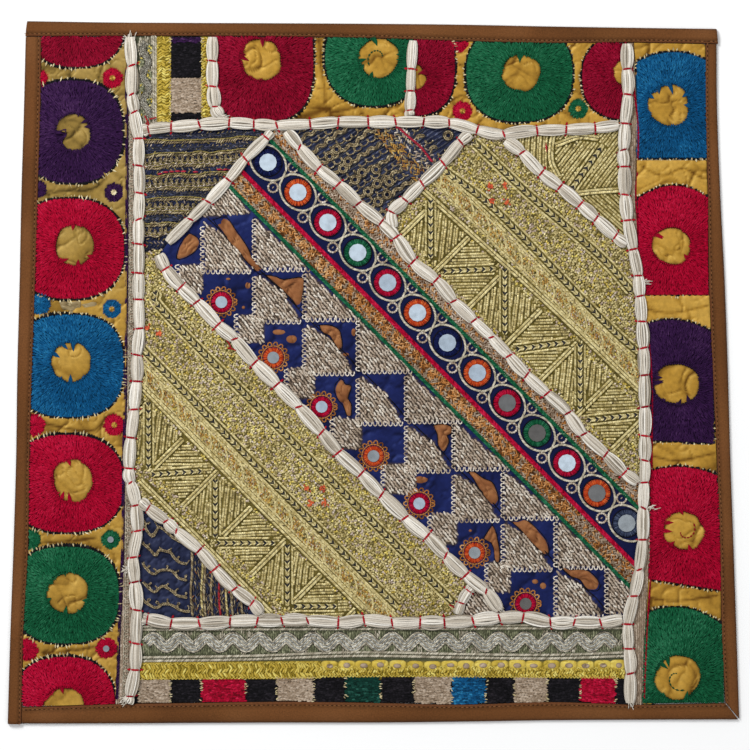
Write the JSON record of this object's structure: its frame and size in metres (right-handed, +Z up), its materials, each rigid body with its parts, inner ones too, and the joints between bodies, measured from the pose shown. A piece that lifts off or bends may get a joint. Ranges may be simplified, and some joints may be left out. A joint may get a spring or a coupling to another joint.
{
  "type": "embroidered patchwork mat",
  "caption": "Square flat mat of old embroidered patches, with couched white cords over the seams, small mirrors and a brown cloth binding.",
  "frame": {"origin": "centre of the underside, at the middle of the box around the mat", "axes": "+X along the longer side to the right of the face, +Y towards the top edge of the face, +Z up out of the embroidered face"},
  "size_m": [0.4166, 0.4, 0.0056],
  "materials": {
    "binding_cloth": "smooth brown cotton, machine stitched",
    "mustard_cloth": "crumpled mustard cloth with satin stitch medallions",
    "selvedge_cloth": "worn beige selvedge",
    "check_embroidery": "blocks of flat stitch in dark and bright silks",
    "navy_embroidery": "navy cloth with couched metal thread",
    "gold_embroidery": "dense couched gold thread",
    "silver_embroidery": "dense couched silver thread",
    "white_cord": "loose bundle of cotton strands tied with red thread",
    "metal_braid": "tarnished silver thread braid",
    "mirror_glass": "small thin mirror glass"
  },
  "bodies": {
    "root": {"binding_top": "binding_cloth", "binding_right": "binding_cloth", "binding_bottom": "binding_cloth", "binding_left": "binding_cloth", "panel_left_border": "mustard_cloth", "panel_left_selvedge": "selvedge_cloth", "panel_top_checks": "check_embroidery", "panel_top_suns_a": "mustard_cloth", "panel_top_suns_b": "mustard_cloth", "panel_scroll_top_left": "navy_embroidery", "panel_scroll_top_mid": "navy_embroidery", "panel_gold_right": "gold_embroidery", "panel_gold_corner": "gold_embroidery", "panel_mirror_checks": "navy_embroidery", "panel_gold_left": "gold_embroidery", "panel_scroll_lower_left": "navy_embroidery", "panel_silver_corner": "silver_embroidery", "panel_bottom_band": "check_embroidery", "panel_right_selvedge": "selvedge_cloth", "panel_right_border": "mustard_cloth", "cord_left": "white_cord", "cord_right": "white_cord", "cord_top": "white_cord", "cord_bottom": "white_cord", "cord_upper_diagonal": "white_cord", "cord_upper_left": "white_cord", "cord_curve": "white_cord", "cord_corner": "white_cord", "cord_lower_diagonal": "white_cord", "cord_short": "white_cord", "cord_lower_left": "white_cord", "cord_top_a": "white_cord", "cord_top_b": "white_cord", "braid_bottom": "metal_braid", "braid_top": "metal_braid", "mirror_band_00": "mirror_glass", "mirror_band_01": "mirror_glass", "mirror_band_02": "mirror_glass", "mirror_band_03": "mirror_glass", "mirror_band_04": "mirror_glass", "mirror_band_05": "mirror_glass", "mirror_band_06": "mirror_glass", "mirror_band_07": "mirror_glass", "mirror_band_08": "mirror_glass", "mirror_band_09": "mirror_glass", "mirror_band_10": "mirror_glass", "mirror_band_11": "mirror_glass", "mirror_band_12": "mirror_glass", "mirror_flower_0": "mirror_glass", "mirror_flower_1": "mirror_glass", "mirror_flower_2": "mirror_glass", "mirror_flower_3": "mirror_glass", "mirror_flower_4": "mirror_glass", "mirror_flower_5": "mirror_glass", "mirror_flower_6": "mirror_glass", "mirror_dot_0": "mirror_glass", "mirror_dot_1": "mirror_glass"}
  },
  "joints": []
}
